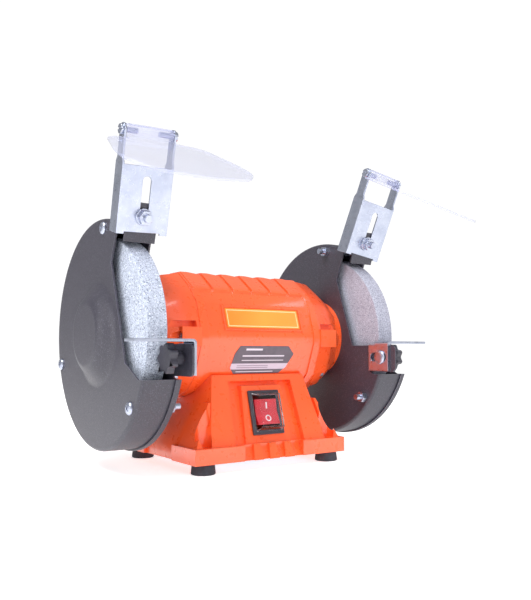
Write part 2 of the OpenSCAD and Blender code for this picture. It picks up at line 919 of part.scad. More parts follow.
// Puts the inside of a guard, which is modelled from x = 0, at its side.
module at_guard(side) {
    on_spindle() translate([side < 0 ? -guard_out : motor_half, 0, 0]) children();
}

// Holes through a guard plate for the screws that close the guard.
module guard_screw_holes(x) {
    for (a = guard_screw_at)
        rotate([a, 0, 0]) translate([0, guard_screw_r, 0]) rod_x(guard_screw_d / 2, x - 3, x + 3);
}

module mount_holes(x) {
    for (a = mount_angles)
        rotate([a, 0, 0]) translate([0, mount_circle_r, 0]) rod_x(mount_screw_d / 2, x - 3, x + 3);
}

mount_angles = [90, 210, 330];

module plate_opening(x, domed) {
    along_x(x - 2, x + 2)
        difference() {
            polygon(opening);
            if (!domed)
                lobe_outline();
        }
}

// The plane that a shield bracket is clamped to; z = 0 is the foot of the bracket.
module on_tab() {
    translate([guard_depth / 2, bracket_y, bracket_z]) rotate([bracket_lean, 0, 0]) children();
}

module guard_tab() {
    on_tab()
        difference() {
            translate([-tab_half_w, 0, tab_low]) cube([2 * tab_half_w, sheet, tab_high - tab_low]);
            translate([0, -over, bracket_bolt_h])
                rotate([-90, 0, 0]) cylinder(r = bolt_hole_r, h = sheet + 2 * over);
        }
}

module guard_pan(domed) {
    difference() {
        union() {
            difference() {
                about_x() polygon(pan_profile(domed));
                plate_opening(0, domed);
                along_x(sheet, guard_depth + over) polygon(wall_opening);
            }
            if (!domed)
                along_x(0, sheet) lobe_outline();
        }
        guard_screw_holes(0);
        if (!domed) {
            mount_holes(0);
            rest_hole(0);
        }
    }
    guard_tab();
}

module guard_lid(domed) {
    difference() {
        union() {
            difference() {
                about_x() polygon(lid_profile(domed));
                plate_opening(guard_depth, domed);
                along_x(guard_depth - lid_flange - over, guard_depth - sheet) polygon(opening);
            }
            if (!domed)
                along_x(guard_depth - sheet, guard_depth) lobe_outline();
        }
        guard_screw_holes(guard_depth);
        if (!domed) {
            mount_holes(guard_depth);
            rest_hole(guard_depth);
        }
    }
}

module rest_hole(x) {
    translate([0, rest_axis_y, rest_axis_z]) rod_x(bolt_hole_r, x - 3, x + 3);
}

module left_guard_pan() {
    color(graphite) at_guard(left) guard_pan(true);
}

module left_guard_lid() {
    color(graphite) at_guard(left) guard_lid(false);
}

module right_guard_pan() {
    color(graphite) at_guard(right) guard_pan(false);
}

module right_guard_lid() {
    color(graphite) at_guard(right) guard_lid(true);
}

screw_head_r = guard_screw_d * 0.95;
screw_head_h = guard_screw_d * 0.48;
nut_h = guard_screw_d * 0.8;
hex_nut_r = guard_screw_d * 0.92;

// The screws that close a guard: heads outside, nuts at the motor side.
module guard_screws(side) {
    color(zinc)
        on_spindle()
            to_side(side)
                for (a = guard_screw_at)
                    rotate([a, 0, 0])
                        translate([0, guard_screw_r, 0]) {
                            rod_x(guard_screw_d / 2, motor_half - nut_h - 5, guard_out + 1);
                            translate([motor_half - nut_h, 0, 0])
                                rotate([0, 90, 0]) cylinder(r = hex_nut_r, h = nut_h, $fn = 6);
                            cross_head(guard_out);
                        }
}

// Half section of a domed head, as [radius, height].
function head_profile(r, h) = [
    [0, 0], [r, 0], [r, h * 0.35], [r * 0.88, h * 0.7], [r * 0.6, h * 0.93], [r * 0.25, h], [0, h]
];

// A domed screw head with a cross recess, standing on the plane at x.
module cross_head(x) {
    translate([x, 0, 0])
        difference() {
            about_x() polygon(head_profile(screw_head_r, screw_head_h));
            for (a = [0, 90])
                rotate([a, 0, 0])
                    translate([screw_head_h - 1, -0.45, -screw_head_r * 0.6])
                        cube([2, 0.9, screw_head_r * 1.2]);
        }
}

module left_guard_screws() { guard_screws(left); }
module right_guard_screws() { guard_screws(right); }

mount_head_h = 2.2;

// The screws that hold the inner plate of a guard to the motor.
module mount_screws(side) {
    color(zinc)
        on_spindle()
            to_side(side)
                for (a = mount_angles)
                    rotate([a, 0, 0])
                        translate([0, mount_circle_r, 0]) {
                            rod_x(mount_screw_d / 2, motor_half - 9, motor_half + sheet + 1);
                            difference() {
                                rod_x(4.6, motor_half + sheet, motor_half + sheet + mount_head_h);
                                translate([motor_half + sheet + mount_head_h, 0, 0])
                                    rotate([0, 90, 0]) cylinder(r = 1.8, h = 2, center = true, $fn = 6);
                            }
                        }
}

module left_mount_screws() { mount_screws(left); }
module right_mount_screws() { mount_screws(right); }

// --------------------------------------------------------------------- wheels

wheel_edge = 0.6;

module wheel(side) {
    color(side < 0 ? [0.75, 0.78, 0.84] : [0.82, 0.8, 0.84])
        on_spindle()
            to_side(side)
                translate([wheel_in, 0, 0])
                    about_x()
                        polygon([
                            [bore_r, 0], [wheel_r - wheel_edge, 0], [wheel_r, wheel_edge],
                            [wheel_r, wheel_w - wheel_edge], [wheel_r - wheel_edge, wheel_w],
                            [bore_r, wheel_w]
                        ]);
}

module left_wheel() { wheel(left); }
module right_wheel() { wheel(right); }

module ring_x(outer, inner, from, to) {
    difference() {
        rod_x(outer, from, to);
        rod_x(inner, from - over, to + over);
    }
}

// The paper discs between a wheel and its two flanges.
module blotters(side) {
    color([0.35, 0.45, 0.6])
        on_spindle()
            to_side(side)
                for (x = [wheel_in - blotter_t, wheel_in + wheel_w])
                    ring_x(flange_r + 2, bore_r, x, x + blotter_t);
}

module left_blotters() { blotters(left); }
module right_blotters() { blotters(right); }

// A pressed flange that touches the wheel only near its rim.
module clamp_flange(side, face, toward) {
    color([0.7, 0.71, 0.74])
        on_spindle()
            to_side(side)
                translate([face, 0, 0])
                    about_x()
                        polygon([
                            [bore_r, toward * 0.6], [flange_r - 6, toward * 0.6], [flange_r - 6, 0],
                            [flange_r, 0], [flange_r, toward * 1.2], [flange_r - 3, toward * flange_t],
                            [bore_r, toward * flange_t]
                        ]);
}

module left_inner_flange() { clamp_flange(left, wheel_in - blotter_t, -1); }
module right_inner_flange() { clamp_flange(right, wheel_in - blotter_t, -1); }
module left_outer_flange() { clamp_flange(left, wheel_in + wheel_w + blotter_t, 1); }
module right_outer_flange() { clamp_flange(right, wheel_in + wheel_w + blotter_t, 1); }

module spindle_nut(side) {
    color(zinc)
        on_spindle()
            to_side(side)
                difference() {
                    translate([nut_x, 0, 0])
                        rotate([0, 90, 0]) cylinder(r = nut_flats / 2 / cos(30), h = nut_t, $fn = 6);
                    rod_x(thread_r, nut_x - over, nut_x + nut_t + over);
                }
}

module left_spindle_nut() { spindle_nut(left); }
module right_spindle_nut() { spindle_nut(right); }

// ----------------------------------------------------------------- tool rests

neck_clear = 0.25;
neck_w = rest_slot_w - 2 * neck_clear;
neck_r = neck_w / 2 + 0.2;
rest_x = motor_half - rest_sheet;
bolt_head_r = clamp_bolt_d * 0.97;
bolt_head_h = 2.5;
knob_x = motor_half + sheet;
knob_hub_l = 7.4;
knob_star_t = 6;
knob_lobes = 7;
knob_clear = 0.06;

// Folded sheet: an upright leg at the motor side and a table over the wheel.
module rest_profile() {
    difference() {
        translate([0, rest_top - rest_leg_h]) square([rest_sheet, rest_leg_h]);
        translate([-over, rest_top - rest_bend_r]) square([rest_sheet + 2 * over, rest_bend_r + over]);
    }
    translate([rest_bend_r, rest_top - rest_sheet]) square([rest_table_w - rest_bend_r, rest_sheet]);
    intersection() {
        translate([rest_bend_r, rest_top - rest_bend_r])
            difference() {
                circle(r = rest_bend_r);
                circle(r = rest_bend_r - rest_sheet);
            }
        translate([0, rest_top - rest_bend_r]) square([rest_bend_r, rest_bend_r]);
    }
}

module tool_rest(side, pull) {
    middle = rest_axis_y - pull;
    color(zinc)
        on_spindle()
            to_side(side)
                difference() {
                    union() {
                        translate([rest_x, middle + table_back, 0])
                            rotate([90, 0, 0]) linear_extrude(table_back + rest_leg_l / 2) rest_profile();
                        translate([rest_x, middle - rest_leg_l / 2, rest_top - rest_leg_h])
                            cube([rest_sheet, rest_leg_l, rest_leg_h - rest_bend_r]);
                    }
                    along_x(rest_x - over, motor_half + over)
                        translate([middle, rest_axis_z]) slot_outline(rest_slot_l, rest_slot_w);
                }
}

// A slot with round ends, centred, with its length along its own X.
module slot_outline(length, width) {
    square([length - width, width], center = true);
    for (s = [-1, 1])
        translate([s * (length - width) / 2, 0]) circle(r = width / 2);
}

module left_tool_rest() { tool_rest(left, rest_pull_left); }
module right_tool_rest() { tool_rest(right, rest_pull_right); }

// A bolt whose round neck has two flats that run in the slot of the rest.
module rest_bolt(side) {
    color(zinc)
        on_spindle()
            to_side(side)
                translate([0, rest_axis_y, rest_axis_z]) {
                    translate([rest_x, 0, 0])
                        mirror([1, 0, 0]) about_x() polygon(head_profile(bolt_head_r, bolt_head_h));
                    intersection() {
                        rod_x(neck_r, rest_x - 0.5, rest_x + rest_sheet);
                        translate([rest_x - over, -neck_w, -neck_w / 2])
                            cube([rest_sheet + 2 * over, 2 * neck_w, neck_w]);
                    }
                    rod_x(bolt_r, rest_x, knob_x + knob_hub_l + 2);
                }
}

module left_rest_bolt() { rest_bolt(left); }
module right_rest_bolt() { rest_bolt(right); }

// Wavy outline of a star knob.
function star_outline(r, depth, lobes) = [
    for (i = [0:lobes * 12 - 1])
        let (a = i * 30 / lobes)
            (r - depth * (0.5 - 0.5 * cos(a * lobes))) * [cos(a), sin(a)]
];

module rest_knob(side) {
    star_x = knob_x + knob_hub_l;
    color([0.13, 0.13, 0.15])
        on_spindle()
            to_side(side)
                translate([0, rest_axis_y, rest_axis_z])
                    difference() {
                        union() {
                            translate([knob_x, 0, 0])
                                rotate([0, 90, 0])
                                    cylinder(r1 = 4.5, r2 = 4, h = knob_hub_l + 1);
                            along_x(star_x, star_x + knob_star_t)
                                polygon(star_outline(knob_d / 2, 2.6, knob_lobes));
                        }
                        rod_x(bolt_r + knob_clear, knob_x - over, knob_x + knob_hub_l + 2.5);
                    }
}

module left_rest_knob() { rest_knob(left); }
module right_rest_knob() { rest_knob(right); }

// -------------------------------------------------------------------- shields

// Places its children in a bracket's own frame: x across, z up from its foot,
// y = 0 at its back face.
module at_bracket(side, turn) {
    on_spindle()
        translate([side * guard_mid, bracket_y, bracket_z])
            rotate([bracket_lean, 0, 0])
                translate([0, 0, bracket_bolt_h])
                    rotate([0, turn, 0])
                        translate([0, 0, -bracket_bolt_h]) children();
}

bracket_half = bracket_w / 2;
flange_back = bracket_flange - bracket_sheet;
arm_low = bracket_h + 1;
hinge_screw_r = 2;
hinge_clear = 0.06;
arm_clear = 0.3;
notch_half = 14;
notch_h = 1.6;

// Side of a bracket: a flange that narrows into an arm with a round end.
module bracket_side() {
    polygon([
        [-bracket_sheet, 0], [flange_back, 0], [flange_back, arm_low],
        [hinge_depth + arm_w / 2, arm_low + arm_kink + 1], [hinge_depth + arm_w / 2, shield_hinge_h],
        [hinge_depth - arm_w / 2, shield_hinge_h], [hinge_depth - arm_w / 2, arm_low + arm_kink + 1],
        [-bracket_sheet, arm_low]
    ]);
    translate([hinge_depth, shield_hinge_h]) circle(r = arm_w / 2);
}

module shield_bracket(side, turn) {
    color(zinc)
        at_bracket(side, turn)
            difference() {
                union() {
                    translate([-bracket_half, -bracket_sheet, 0]) cube([bracket_w, bracket_sheet, bracket_h]);
                    for (s = [-1, 1])
                        to_side(s) along_x(bracket_half - bracket_sheet, bracket_half) bracket_side();
                }
                translate([0, over, (bracket_slot_low + bracket_slot_high) / 2])
                    rotate([90, 90, 0])
                        linear_extrude(bracket_sheet + 2 * over)
                            slot_outline(bracket_slot_high - bracket_slot_low, bracket_slot_w);
                translate([-notch_half, -bracket_sheet - over, -over])
                    cube([2 * notch_half, bracket_sheet + 2 * over, notch_h + over]);
                hinge_pin(hinge_screw_r);
            }
}

// A rod along the whole hinge of a bracket.
module hinge_pin(r) {
    translate([0, hinge_depth, shield_hinge_h]) rod_x(r, -bracket_half - over, bracket_half + over);
}

module left_shield_bracket() { shield_bracket(left, bracket_turn_left); }
module right_shield_bracket() { shield_bracket(right, bracket_turn_right); }

clamp_washer_r = clamp_bolt_d * 1.05;
clamp_washer_t = 1.2;
clamp_nut_h = 4.6;
clamp_nut_r = clamp_bolt_d * 0.96;

// The bolt that clamps a bracket to the tab of its guard, with its washer and nut.
module bracket_bolt(side) {
    color(zinc)
        on_spindle()
            translate([side * guard_mid, bracket_y, bracket_z])
                rotate([bracket_lean, 0, 0])
                    translate([0, 0, bracket_bolt_h])
                        rotate([90, 0, 0]) {
                            translate([0, 0, -sheet - 3.8]) cylinder(r = clamp_nut_r, h = 3.8, $fn = 6);
                            translate([0, 0, -sheet]) cylinder(r = bolt_r, h = 13);
                            translate([0, 0, bracket_sheet]) cylinder(r = clamp_washer_r, h = clamp_washer_t);
                            translate([0, 0, bracket_sheet + clamp_washer_t])
                                cylinder(r = clamp_nut_r, h = clamp_nut_h, $fn = 6);
                        }
}

module left_bracket_bolt() { bracket_bolt(left); }
module right_bracket_bolt() { bracket_bolt(right); }

hinge_head_h = 2;

// The two screws that a shield swings on.
module shield_screws(side, turn) {
    color(zinc)
        at_bracket(side, turn)
            for (s = [-1, 1])
                to_side(s)
                    translate([0, hinge_depth, shield_hinge_h]) {
                        rod_x(hinge_screw_r, bracket_half - 11, bracket_half + 1);
                        difference() {
                            rod_x(3.6, bracket_half, bracket_half + hinge_head_h);
                            translate([bracket_half + hinge_head_h - 0.8, -4, -0.5]) cube([2, 8, 1]);
                        }
                    }
}

module left_shield_screws() { shield_screws(left, bracket_turn_left); }
module right_shield_screws() { shield_screws(right, bracket_turn_right); }

shield_half = shield_w / 2;
barrel_half = bracket_half - bracket_sheet - arm_clear;
shield_corner = 28;
shield_bow = 2.5;
shield_shoulder = 10;

// Half of the outline of a shield, as [across, reach from the hinge].
shield_side = concat(
    [[barrel_half, 0], [barrel_half, shield_shoulder], [shield_half - 22, shield_shoulder + 3]],
    arc([shield_half - 22, shield_shoulder + 19], 16, -80, -28, 5),
    arc([shield_half - 90, shield_l - 31], 90, -16, 0, 5),
    arc([shield_half - shield_corner, shield_l - shield_bow - shield_corner], shield_corner, 0, 84, 8),
    [[8, shield_l]]
);

module eye_shield(side, turn, drop) {
    color([0.85, 0.85, 0.95, 0.5])
        at_bracket(side, turn)
            translate([0, hinge_depth, shield_hinge_h])
                rotate([drop - bracket_lean, 0, 0])
                    difference() {
                        union() {
                            rod_x(hinge_r, -barrel_half, barrel_half);
                            translate([0, 0, -hinge_r])
                                linear_extrude(shield_t)
                                    rotate([0, 0, 180]) polygon(concat(shield_side, mirrored(shield_side)));
                        }
                        for (s = [-1, 1])
                            to_side(s)
                                rod_x(hinge_screw_r + hinge_clear, barrel_half - 10, barrel_half + over);
                        translate([-barrel_half - over, -0.5, hinge_r - 1.5])
                            cube([2 * barrel_half + 2, 1, 2]);
                    }
}

module left_eye_shield() { eye_shield(left, bracket_turn_left, shield_drop_left); }
module right_eye_shield() { eye_shield(right, bracket_turn_right, shield_drop_right); }

motor_housing();
left_end_bell();
right_end_bell();
end_bell_screws();
pedestal();
pedestal_screws();
base_plate();
base_plate_screws();
foot_front_left();
foot_front_right();
foot_rear_left();
foot_rear_right();
stator_core();
stator_windings();
rotor_core();
shaft();
bearing_outer_rings();
bearing_inner_rings();
left_ball_cage();
right_ball_cage();
wave_washer();
capacitor();
switch_frame();
switch_rocker();
switch_cover();
front_label();
rating_plate();
cable_gland();
left_guard_pan();
left_guard_lid();
left_guard_screws();
left_mount_screws();
left_wheel();
left_blotters();
left_inner_flange();
left_outer_flange();
left_spindle_nut();
left_tool_rest();
left_rest_bolt();
left_rest_knob();
left_shield_bracket();
left_bracket_bolt();
left_shield_screws();
left_eye_shield();
right_guard_pan();
right_guard_lid();
right_guard_screws();
right_mount_screws();
right_wheel();
right_blotters();
right_inner_flange();
right_outer_flange();
right_spindle_nut();
right_tool_rest();
right_rest_bolt();
right_rest_knob();
right_shield_bracket();
right_bracket_bolt();
right_shield_screws();
right_eye_shield();
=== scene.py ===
import json
import math

import bmesh
import bpy
from mathutils import Matrix, Vector


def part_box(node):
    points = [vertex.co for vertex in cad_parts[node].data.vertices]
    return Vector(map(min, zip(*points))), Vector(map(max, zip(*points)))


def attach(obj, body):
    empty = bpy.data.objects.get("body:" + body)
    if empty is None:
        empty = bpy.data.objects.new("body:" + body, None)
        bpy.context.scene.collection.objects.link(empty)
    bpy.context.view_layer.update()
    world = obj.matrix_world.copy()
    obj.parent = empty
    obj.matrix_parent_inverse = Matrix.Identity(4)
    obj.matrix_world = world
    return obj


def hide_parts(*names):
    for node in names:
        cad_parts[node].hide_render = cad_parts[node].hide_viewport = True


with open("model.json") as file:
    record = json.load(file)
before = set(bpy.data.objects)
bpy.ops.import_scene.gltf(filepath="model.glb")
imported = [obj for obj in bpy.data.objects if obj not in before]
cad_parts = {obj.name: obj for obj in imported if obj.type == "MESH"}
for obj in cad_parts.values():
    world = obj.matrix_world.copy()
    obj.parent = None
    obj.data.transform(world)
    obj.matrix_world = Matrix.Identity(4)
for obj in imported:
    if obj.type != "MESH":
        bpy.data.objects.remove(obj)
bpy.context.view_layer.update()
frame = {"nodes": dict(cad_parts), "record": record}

MM = 0.001
nodes = frame["nodes"]
record = frame["record"]
body_of = {n: b for b, members in record["behaviour"]["bodies"].items() for n in members}
slot_of = {s["node"]: s["material_slot"] for s in record["subparts"]}

for name in ("Cube", "Light", "Camera"):
    if name in bpy.data.objects:
        bpy.data.objects.remove(bpy.data.objects[name])

# ------------------------------------------------------------------ camera

CAMERA_AT = Vector((-326.4, -513.1, 92.6)) * MM
CAMERA_YAW = 35.11       # degrees from +Y towards +X
CAMERA_RISE = 1.79       # degrees above the horizon
CAMERA_SENSOR = 36.0     # mm
CAMERA_LENS = 41.82      # mm
CAMERA_SHIFT = 0.0498    # upward shift, as a share of the sensor
CLIP_NEAR = 0.01         # m
CLIP_FAR = 50.0          # m


def make_camera():
    """The scene's camera, with everything in focus."""
    data = bpy.data.cameras.new("camera")
    data.sensor_width = CAMERA_SENSOR
    data.lens = CAMERA_LENS
    data.shift_y = CAMERA_SHIFT
    data.clip_start = CLIP_NEAR
    data.clip_end = CLIP_FAR
    camera = bpy.data.objects.new("camera", data)
    bpy.context.scene.collection.objects.link(camera)
    camera.location = CAMERA_AT
    camera.rotation_euler = (math.radians(90 + CAMERA_RISE), 0, math.radians(-CAMERA_YAW))
    bpy.context.scene.camera = camera


make_camera()
bpy.context.scene.view_settings.view_transform = "Standard"

# --------------------------------------------------------------- materials


def srgb(r, g, b):
    """A linear colour from 0-255 display values."""
    def linear(c):
        c /= 255
        return c / 12.92 if c <= 0.04045 else ((c + 0.055) / 1.055) ** 2.4
    return (linear(r), linear(g), linear(b), 1.0)


class Shader:
    """One Principled material, with short calls for the nodes that feed it."""

    def __init__(self, name, color, roughness, metallic=0.0, **sockets):
        self.mat = bpy.data.materials.new(name)
        self.mat.use_nodes = True
        self.tree = self.mat.node_tree
        self.bsdf = self.tree.nodes["Principled BSDF"]
        self.place = self.tree.nodes.new("ShaderNodeTexCoord").outputs["Object"]
        self.set("Base Color", color)
        self.set("Roughness", roughness)
        self.set("Metallic", metallic)
        for key, value in sockets.items():
            self.set(key.replace("_", " "), value)
        self.normal = None

    def set(self, socket, value):
        if isinstance(value, bpy.types.NodeSocket):
            self.tree.links.new(value, self.bsdf.inputs[socket])
        else:
            self.bsdf.inputs[socket].default_value = value

    def node(self, kind, inputs, **attributes):
        made = self.tree.nodes.new(kind)
        for key, value in attributes.items():
            setattr(made, key, value)
        for key, value in inputs.items():
            if isinstance(value, bpy.types.NodeSocket):
                self.tree.links.new(value, made.inputs[key])
            else:
                made.inputs[key].default_value = value
        return made

    def stretched(self, x, y, z):
        return self.node("ShaderNodeMapping", {"Vector": self.place, "Scale": (x, y, z)}).outputs[0]

    def noise(self, scale, detail=2.0, rough=0.5, place=None):
        inputs = {"Vector": place or self.place, "Scale": scale, "Detail": detail, "Roughness": rough}
        return self.node("ShaderNodeTexNoise", inputs).outputs["Fac"]

    def cells(self, scale, output="Distance", place=None):
        made = self.node("ShaderNodeTexVoronoi", {"Vector": place or self.place, "Scale": scale})
        return made.outputs[output]

    def grey(self, color):
        return self.node("ShaderNodeSeparateColor", {"Color": color}).outputs[0]

    def ramp(self, value, *stops):
        made = self.node("ShaderNodeValToRGB", {"Fac": value})
        ramp = made.color_ramp
        while len(ramp.elements) < len(stops):
            ramp.elements.new(0.5)
        for element, (at, color) in zip(ramp.elements, stops):
            element.position = at
            element.color = color if isinstance(color, tuple) else (color, color, color, 1.0)
        return made.outputs["Color"]

    def span(self, value, low, high, to_low, to_high):
        inputs = {"Value": value, "From Min": low, "From Max": high, "To Min": to_low, "To Max": to_high}
        return self.node("ShaderNodeMapRange", inputs).outputs[0]

    def strip(self, value, low, high, soft):
        """1 where value lies between low and high, and 0 outside, with soft edges."""
        along = self.span(value, low - soft, high + soft, 0.0, 1.0)
        edge = soft / (high - low + 2 * soft)
        return self.grey(self.ramp(along, (0.0, 0.0), (edge, 1.0), (1 - edge, 1.0), (1.0, 0.0)))

    def both(self, a, b):
        return self.node("ShaderNodeMath", {0: a, 1: b}, operation="MULTIPLY").outputs[0]

    def along(self, axis):
        """The position along X, Y or Z, in metres."""
        return self.node("ShaderNodeSeparateXYZ", {"Vector": self.place}).outputs[axis]

    def mix(self, amount, a, b, blend="MIX"):
        made = self.tree.nodes.new("ShaderNodeMix")
        made.data_type = "RGBA"
        made.blend_type = blend
        for index, value in ((0, amount), (6, a), (7, b)):
            if isinstance(value, bpy.types.NodeSocket):
                self.tree.links.new(value, made.inputs[index])
            else:
                made.inputs[index].default_value = value
        return made.outputs[2]

    def bump(self, height, strength, depth):
        inputs = {"Height": height, "Strength": strength, "Distance": depth}
        if self.normal is not None:
            inputs["Normal"] = self.normal
        self.normal = self.node("ShaderNodeBump", inputs).outputs[0]
        self.set("Normal", self.normal)


def scaled(color, k):
    """The colour with each channel times k, and never past 1."""
    return tuple(min(1.0, c * k) for c in color[:3]) + (1.0,)


def painted_casting():
    """Thick glossy enamel over a die casting, with orange peel and a small change of tone."""
    color = srgb(250, 92, 38)
    s = Shader("orange_enamel", color, 0.3, Coat_Weight=0.7, Coat_Roughness=0.12)
    tone = s.noise(26, 3)
    s.set("Base Color", s.ramp(tone, (0.3, scaled(color, 0.93)), (0.7, scaled(color, 1.05))))
    s.set("Roughness", s.span(s.noise(180, 3), 0.3, 0.7, 0.25, 0.36))
    s.bump(s.noise(300, 1, 0.4), 0.1, 0.0004)
    s.bump(s.noise(60, 1), 0.08, 0.001)
    return s.mat


def powder_coat():
    """Dark textured powder coat with a fine light speckle."""
    s = Shader("graphite_powder_coat", srgb(60, 57, 68), 0.42, Specular_IOR_Level=0.6)
    fleck = s.grey(s.cells(2200, "Color"))
    base = s.ramp(s.noise(1200, 3, 0.6),
                  (0.3, srgb(42, 40, 50)), (0.5, srgb(51, 49, 60)), (0.72, srgb(61, 59, 71)))
    s.set("Base Color", s.mix(s.ramp(fleck, (0.9, 0.0), (0.99, 0.3)), base, srgb(128, 125, 140)))
    s.set("Roughness", s.span(s.noise(1500, 3), 0.3, 0.7, 0.36, 0.5))
    s.bump(s.noise(1500, 2, 0.5), 0.25, 0.0002)
    return s.mat


def zinc_plate():
    """Bright zinc plating on folded sheet, with fine rolling lines and cloudy roughness."""
    s = Shader("zinc_plate", srgb(180, 186, 203), 0.3, 1.0)
    cloud = s.noise(60, 4, 0.6)
    s.set("Base Color", s.ramp(cloud, (0.3, srgb(170, 176, 194)), (0.7, srgb(192, 197, 212))))
    s.set("Roughness", s.span(s.noise(300, 4, 0.7), 0.3, 0.7, 0.24, 0.42))
    s.bump(s.noise(120, 3, 0.6, s.stretched(1, 1, 14)), 0.1, 0.0002)
    s.bump(s.cells(900), 0.06, 0.0002)
    return s.mat


def turned_steel():
    """Machined steel with fine turning marks."""
    s = Shader("turned_steel", srgb(176, 178, 184), 0.3, 1.0)
    s.set("Roughness", s.span(s.noise(500, 3), 0.3, 0.7, 0.22, 0.4))
    s.bump(s.noise(90, 2, 0.5, s.stretched(30, 1, 1)), 0.12, 0.0002)
    return s.mat


def abrasive(name, grain, light, mid, dark):
    """Bonded abrasive: facets of grain of many greys, with pits between them."""
    s = Shader(name, mid, 0.85, Specular_IOR_Level=0.35)
    big = s.grey(s.cells(grain, "Color"))
    small = s.grey(s.cells(grain * 2.1, "Color"))
    speckle = s.mix(0.45, big, small)
    color = s.ramp(speckle, (0.12, dark), (0.34, mid), (0.62, mid), (0.85, light))
    cloud = s.ramp(s.noise(35, 3), (0.3, 0.93), (0.7, 1.0))
    s.set("Base Color", s.mix(1.0, color, cloud, "MULTIPLY"))
    s.bump(s.cells(grain), 0.6, 0.0005)
    s.bump(s.noise(grain * 1.7, 3, 0.7), 0.5, 0.0003)
    return s.mat


def moulded_plastic(name, color, roughness, grain=1400, depth=0.0001):
    """Moulded plastic with a fine spark-eroded grain."""
    s = Shader(name, color, roughness)
    s.set("Base Color", s.ramp(s.noise(45, 2), (0.3, scaled(color, 0.85)), (0.7, scaled(color, 1.12))))
    s.set("Roughness", s.span(s.noise(grain / 3, 3), 0.3, 0.7, roughness * 0.85, min(1.0, roughness * 1.15)))
    s.bump(s.noise(grain, 3, 0.6), 0.35, depth)
    return s.mat


def foot_rubber():
    """Dull dark rubber, slightly uneven in tone."""
    s = Shader("foot_rubber", srgb(52, 50, 58), 0.75, Specular_IOR_Level=0.3)
    s.set("Base Color", s.ramp(s.noise(160, 4), (0.3, srgb(42, 41, 48)), (0.75, srgb(66, 64, 72))))
    s.bump(s.noise(1100, 3), 0.3, 0.0002)
    return s.mat


def clear_plastic(name, tint, roughness):
    """Clear moulded plastic; faint handling marks show only in its gloss."""
    s = Shader(name, tint, roughness, Transmission_Weight=1.0, IOR=1.3)
    s.set("Roughness", s.span(s.noise(220, 4, 0.7), 0.45, 0.8, roughness, roughness + 0.07))
    s.bump(s.noise(25, 2), 0.05, 0.001)
    return s.mat


def clear_sheet(name, tint, cover):
    """Thin clear sheet, without refraction: its tint and gloss cover part of what lies behind."""
    s = Shader(name, tint, 0.1, Alpha=cover, Coat_Weight=1.0, Coat_Roughness=0.03)
    s.set("Base Color", s.ramp(s.noise(18, 2), (0.3, scaled(tint, 0.95)), (0.7, tint)))
    s.set("Roughness", s.span(s.noise(220, 4, 0.7), 0.45, 0.8, 0.06, 0.16))
    s.bump(s.noise(25, 2), 0.08, 0.001)
    return s.mat


def lamp_red():
    """Red plastic that lets a little light in, as an illuminated rocker does."""
    s = Shader("lamp_red_plastic", srgb(200, 24, 44), 0.2, Coat_Weight=0.4, Coat_Roughness=0.1,
               Subsurface_Weight=0.15, Subsurface_Scale=0.002)
    s.set("Base Color", s.ramp(s.noise(120, 2), (0.3, srgb(186, 18, 38)), (0.7, srgb(214, 34, 54))))
    s.bump(s.noise(500, 2), 0.08, 0.0002)
    return s.mat


def film(name, color):
    """Satin label film, with a fine grain."""
    s = Shader(name, color, 0.38, Coat_Weight=0.3, Coat_Roughness=0.25)
    s.set("Roughness", s.span(s.noise(300, 3), 0.3, 0.7, 0.34, 0.44))
    s.bump(s.noise(900, 2), 0.1, 0.0001)
    return s


def front_film():
    """Yellow-orange film, paler towards its middle, with a thin pale line round it."""
    s = film("label_film", srgb(250, 136, 34))
    low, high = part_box("front_label")
    inset, line = 1.2 * MM, 0.1 * MM
    drift = s.span(s.along(0), low[0], high[0], 0.0, 1.0)
    base = s.ramp(drift, (0.0, srgb(248, 132, 34)), (0.5, srgb(252, 150, 50)), (1.0, srgb(250, 140, 40)))
    inside = s.both(s.strip(s.along(0), low[0] + inset, high[0] - inset, line),
                    s.strip(s.along(2), low[2] + inset, high[2] - inset, line))
    field = s.both(s.strip(s.along(0), low[0] + 1.5 * inset, high[0] - 1.5 * inset, line),
                   s.strip(s.along(2), low[2] + 1.5 * inset, high[2] - 1.5 * inset, line))
    s.set("Base Color", s.mix(field, s.mix(inside, base, srgb(255, 214, 160)), base))
    return s.mat


def rating_film():
    """Dark film with a pale band and plain rules, and no lettering."""
    s = film("rating_film", srgb(84, 74, 86))
    low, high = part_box("rating_plate")
    up = s.span(s.along(2), low[2], high[2], 0.0, 1.0)
    across = s.span(s.along(0), low[0], high[0], 0.0, 1.0)
    base = s.ramp(s.noise(200, 2), (0.3, srgb(80, 70, 82)), (0.7, srgb(92, 81, 93)))
    color = s.mix(s.strip(up, 0.16, 0.36, 0.01), base, srgb(198, 182, 198))
    # Each rule's low and high edge and its two ends, as shares of the plate.
    rules = (
        (0.84, 0.9, 0.2, 0.46),
        (0.62, 0.66, 0.16, 0.84),
        (0.47, 0.49, 0.16, 0.84),
        (0.06, 0.08, 0.1, 0.7),
    )
    for rule_low, rule_high, start, end in rules:
        rule = s.both(s.strip(up, rule_low, rule_high, 0.008), s.strip(across, start, end, 0.004))
        color = s.mix(rule, color, srgb(214, 204, 216))
    for rule_low in (0.21, 0.28):
        rule = s.both(s.strip(up, rule_low, rule_low + 0.015, 0.006), s.strip(across, 0.1, 0.6, 0.004))
        color = s.mix(rule, color, srgb(120, 106, 120))
    s.set("Base Color", color)
    return s.mat


def laminated(name, color):
    """Metal with fine lines across the spindle."""
    s = Shader(name, color, 0.5, 1.0)
    s.bump(s.noise(250, 1, 0.5, s.stretched(8, 0.05, 0.05)), 0.6, 0.0006)
    return s.mat


def wound_copper():
    """Enamelled wire, as bumps on the winding heads."""
    s = Shader("enamelled_copper", srgb(176, 92, 40), 0.35, 0.8)
    s.bump(s.noise(180, 2, 0.5, s.stretched(0.3, 4, 4)), 0.7, 0.001)
    return s.mat


